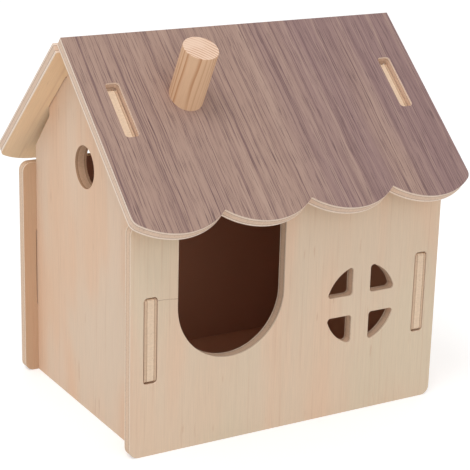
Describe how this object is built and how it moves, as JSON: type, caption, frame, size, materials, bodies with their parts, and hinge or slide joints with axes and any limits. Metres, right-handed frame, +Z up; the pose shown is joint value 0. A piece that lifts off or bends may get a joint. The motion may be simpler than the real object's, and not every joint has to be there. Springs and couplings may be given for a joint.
{
  "type": "wooden hamster house",
  "caption": "Small plywood hideout with a U-shaped door, a round barred window, a scalloped lift-off gable roof and a round chimney.",
  "frame": {"origin": "on the ground under the middle of the house", "axes": "+Z up; +X to the right along the ridge, seen from the door side; the door and window face -Y"},
  "size_m": [0.16, 0.1444, 0.1651],
  "materials": {
    "wall_plywood": "bare sanded plywood",
    "gable_plywood": "bare sanded plywood",
    "roof_plywood": "bare sanded plywood, pale cut edges",
    "walnut_veneer": "matt unvarnished veneer, grain up the slope",
    "pine_dowel": "bare sanded pine, sawn end"
  },
  "bodies": {
    "walls": {"front_wall": "wall_plywood", "back_wall": "wall_plywood", "left_gable": "gable_plywood", "right_gable": "gable_plywood"},
    "front_roof": {"front_roof_board": "roof_plywood", "front_roof_veneer": "walnut_veneer", "chimney_dowel": "pine_dowel"},
    "back_roof": {"back_roof_board": "roof_plywood", "back_roof_veneer": "walnut_veneer"}
  },
  "joints": [
    {"name": "front_roof_lift", "type": "slide", "parent": "walls", "child": "front_roof", "axis": [0, -0.6756, 0.7373], "range_m": [0, 0.03]},
    {"name": "back_roof_lift", "type": "slide", "parent": "walls", "child": "back_roof", "axis": [0, 0.6756, 0.7373], "range_m": [0, 0.03]}
  ]
}
